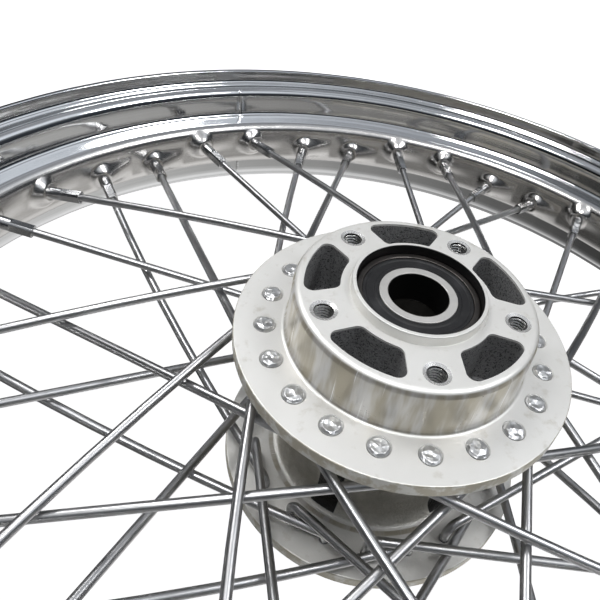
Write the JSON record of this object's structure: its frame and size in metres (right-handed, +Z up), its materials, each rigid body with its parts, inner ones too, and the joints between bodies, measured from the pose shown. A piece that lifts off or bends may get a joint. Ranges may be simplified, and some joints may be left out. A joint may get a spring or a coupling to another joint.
{
  "type": "spoked motorcycle wheel",
  "caption": "Laced motorcycle wheel: chromed drop-centre rim, crossed steel spokes and nipples, and a cast aluminium two-flange hub with brake-disc faces and sealed ball bearings.",
  "frame": {"origin": "on the axle axis, at the middle plane of the rim", "axes": "+Y is the spin axis and points away from the disc face that shows most; +Z is up, through one disc bolt hole"},
  "size_m": [0.5126, 0.1358, 0.5126],
  "materials": {
    "hub_aluminium": "satin machined casting",
    "rim_chrome": "bright chrome plating",
    "spoke_steel": "satin zinc-plated steel",
    "nipple_plating": "bright plated",
    "bearing_steel": "ground steel",
    "ball_steel": "polished steel",
    "cage_steel": "pressed steel",
    "seal_rubber": "moulded black rubber",
    "sleeve_steel": "dark drawn tube"
  },
  "bodies": {
    "axle_sleeve_and_inner_races": {"bearing_inner_race_disc": "bearing_steel", "bearing_inner_race_far": "bearing_steel", "spacer_sleeve": "sleeve_steel"},
    "wheel": {"bearing_outer_race_disc": "bearing_steel", "bearing_outer_race_far": "bearing_steel", "bearing_seal_inner_disc": "seal_rubber", "bearing_seal_inner_far": "seal_rubber", "bearing_seal_outer_disc": "seal_rubber", "bearing_seal_outer_far": "seal_rubber", "hub_body": "hub_aluminium", "nipples_disc_back": "nipple_plating", "nipples_disc_fwd": "nipple_plating", "nipples_far_back": "nipple_plating", "nipples_far_fwd": "nipple_plating", "rim": "rim_chrome", "spokes_disc_back": "spoke_steel", "spokes_disc_fwd": "spoke_steel", "spokes_far_back": "spoke_steel", "spokes_far_fwd": "spoke_steel"},
    "rolling_set_disc": {"bearing_cage_disc": "cage_steel", "bearing_balls_disc": "ball_steel"},
    "rolling_set_far": {"bearing_cage_far": "cage_steel", "bearing_balls_far": "ball_steel"}
  },
  "joints": [
    {"name": "wheel_spin", "type": "hinge", "parent": "axle_sleeve_and_inner_races", "child": "wheel", "pos_m": [0, 0, 0], "axis": [0, 1, 0], "continuous": true},
    {"name": "rolling_set_disc_spin", "type": "hinge", "parent": "axle_sleeve_and_inner_races", "child": "rolling_set_disc", "pos_m": [0, -0.05622, 0], "axis": [0, 1, 0], "continuous": true},
    {"name": "rolling_set_far_spin", "type": "hinge", "parent": "axle_sleeve_and_inner_races", "child": "rolling_set_far", "pos_m": [0, 0.05622, 0], "axis": [0, 1, 0], "continuous": true}
  ],
  "couplings": [
    {"joint": "rolling_set_disc_spin", "follows": "wheel_spin", "ratio": 0.6031},
    {"joint": "rolling_set_far_spin", "follows": "wheel_spin", "ratio": 0.6031}
  ]
}
